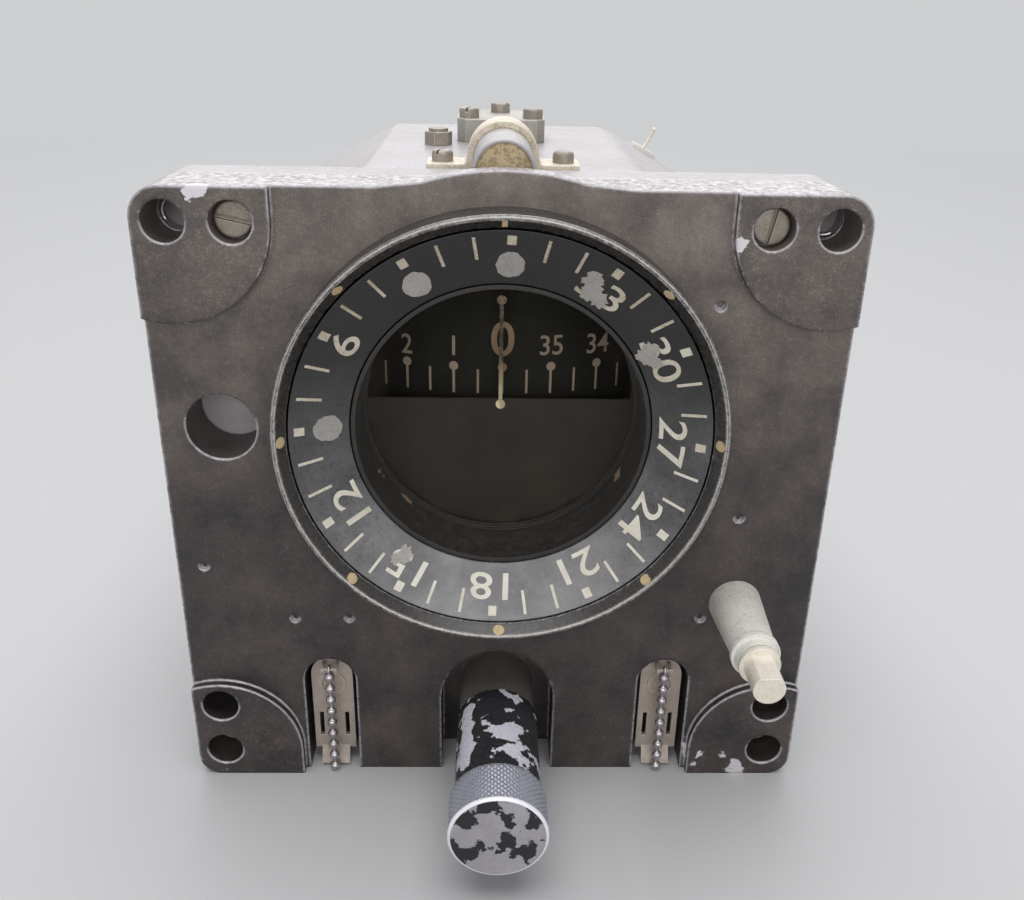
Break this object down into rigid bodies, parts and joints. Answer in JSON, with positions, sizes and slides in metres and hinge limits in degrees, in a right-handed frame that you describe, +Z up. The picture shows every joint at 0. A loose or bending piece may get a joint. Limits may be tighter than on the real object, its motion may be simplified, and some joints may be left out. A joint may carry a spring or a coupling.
{
  "type": "directional gyro",
  "caption": "Panel-mounted heading gyro with a turning numbered ring, a windowed compass card, a push-and-turn caging knob and pull-out dial lamps.",
  "frame": {"origin": "centre of the dial in the plane of the front casting's face", "axes": "+Z up, -Y out of the face towards the reader, +X to the reader's right, case running back along +Y"},
  "size_m": [0.136, 0.1922, 0.1427],
  "materials": {
    "case_paint": "worn satin black paint over aluminium",
    "bezel_paint": "semi-gloss black paint",
    "dial_paint": "matt black with cream numbers",
    "card_paint": "matt black with cream marks",
    "mask_paint": "matt grey-black",
    "knob_paint": "gloss black, worn to bare metal",
    "cream_paint": "matt cream",
    "bare_aluminium": "dull machined",
    "plated_steel": "dull plated",
    "polished_steel": "smooth turned",
    "carrier_metal": "dull light grey",
    "brass": "dull turned brass",
    "clear_glass": "clear, dusty",
    "seal_rubber": "matt black",
    "white_insulator": "matt white",
    "filter_felt": "dusty felt",
    "bulb_glass": "clear"
  },
  "bodies": {
    "case": {"front_casting": "case_paint", "bezel_ring": "bezel_paint", "window_frame": "bezel_paint", "frame_screws": "plated_steel", "glass_gasket": "seal_rubber", "window_glass": "clear_glass", "mask_plate": "mask_paint", "lubber_line": "cream_paint", "glass_retainer": "bare_aluminium", "shaft_housing": "bare_aluminium", "idler_pin": "plated_steel", "knob_bushing": "bare_aluminium", "case_body": "case_paint", "rear_cover": "case_paint", "cover_screws": "plated_steel", "casting_screws": "plated_steel", "nut_clips": "plated_steel", "vacuum_port": "brass", "filter_cap": "case_paint", "saddle_clamp": "brass", "clamp_screws": "plated_steel", "vent_spout": "case_paint", "vent_screen": "filter_felt", "pivot_housing": "bare_aluminium", "block_screws": "plated_steel", "relief_plug": "plated_steel", "feed_through": "white_insulator", "feed_through_pin": "plated_steel", "upper_bearing": "polished_steel", "lower_bearing": "polished_steel", "lower_bearing_seat": "bare_aluminium"},
    "dial": {"heading_dial": "dial_paint", "dial_ring_gear": "brass"},
    "heading_drive": {"heading_shaft": "polished_steel", "heading_pinion": "brass"},
    "idler": {"idler_gear": "brass"},
    "yoke": {"caging_yoke": "bare_aluminium"},
    "knob": {"caging_knob": "knob_paint", "caging_rod": "polished_steel", "caging_pinion": "brass"},
    "plunger": {"caging_plunger": "polished_steel"},
    "outer_gimbal": {"vertical_ring": "bare_aluminium", "compass_card": "card_paint", "azimuth_gear": "bare_aluminium", "upper_pivot": "polished_steel", "lower_pivot": "polished_steel", "gimbal_bearings": "polished_steel"},
    "inner_gimbal": {"rotor_shell": "bare_aluminium", "gimbal_pivots": "polished_steel", "rotor_bearings": "polished_steel"},
    "gyro_rotor": {"rotor": "brass", "rotor_shaft": "polished_steel"},
    "left_carrier": {"lamp_carrier_left": "carrier_metal", "lamp_bulb_left": "bulb_glass"},
    "right_carrier": {"lamp_carrier_right": "carrier_metal", "lamp_bulb_right": "bulb_glass"},
    "left_chain": {"pull_chain_left": "polished_steel"},
    "right_chain": {"pull_chain_right": "polished_steel"}
  },
  "joints": [
    {"name": "dial_turn", "type": "hinge", "parent": "case", "child": "dial", "pos_m": [0, 0, 0], "axis": [0, 1, 0], "continuous": true},
    {"name": "heading_shaft_turn", "type": "hinge", "parent": "case", "child": "heading_drive", "pos_m": [0.05144, 0, -0.04055], "axis": [0, 1, 0], "continuous": true},
    {"name": "idler_turn", "type": "hinge", "parent": "case", "child": "idler", "pos_m": [0.04084, 0, -0.03219], "axis": [0, 1, 0], "continuous": true},
    {"name": "caging_push", "type": "slide", "parent": "case", "child": "yoke", "axis": [0, 1, 0], "range_m": [0, 0.006]},
    {"name": "caging_turn", "type": "hinge", "parent": "yoke", "child": "knob", "pos_m": [0, 0, -0.069], "axis": [0, 1, 0], "continuous": true},
    {"name": "plunger_lift", "type": "slide", "parent": "case", "child": "plunger", "axis": [0, 0, 1], "range_m": [0, 0.0012]},
    {"name": "card_turn", "type": "hinge", "parent": "case", "child": "outer_gimbal", "pos_m": [0, 0.078, -0.0225], "axis": [0, 0, 1], "continuous": true},
    {"name": "gimbal_tilt", "type": "hinge", "parent": "outer_gimbal", "child": "inner_gimbal", "pos_m": [0, 0.078, -0.0225], "axis": [1, 0, 0], "range_deg": [-85, 85]},
    {"name": "rotor_spin", "type": "hinge", "parent": "inner_gimbal", "child": "gyro_rotor", "pos_m": [0, 0.078, -0.0225], "axis": [0, 1, 0], "continuous": true},
    {"name": "left_carrier_pull", "type": "slide", "parent": "case", "child": "left_carrier", "axis": [0, 0, -1], "range_m": [0, 0.036]},
    {"name": "left_chain_swing", "type": "hinge", "parent": "left_carrier", "child": "left_chain", "pos_m": [-0.0374, -0.0007, -0.0579], "axis": [-1, 0, 0], "range_deg": [0, 70]},
    {"name": "right_carrier_pull", "type": "slide", "parent": "case", "child": "right_carrier", "axis": [0, 0, -1], "range_m": [0, 0.036]},
    {"name": "right_chain_swing", "type": "hinge", "parent": "right_carrier", "child": "right_chain", "pos_m": [0.0374, -0.0007, -0.0579], "axis": [-1, 0, 0], "range_deg": [0, 70]}
  ],
  "couplings": [
    {"joint": "idler_turn", "follows": "dial_turn", "ratio": -5.5},
    {"joint": "heading_shaft_turn", "follows": "dial_turn", "ratio": 8},
    {"joint": "plunger_lift", "follows": "caging_push", "ratio": 0.2}
  ]
}
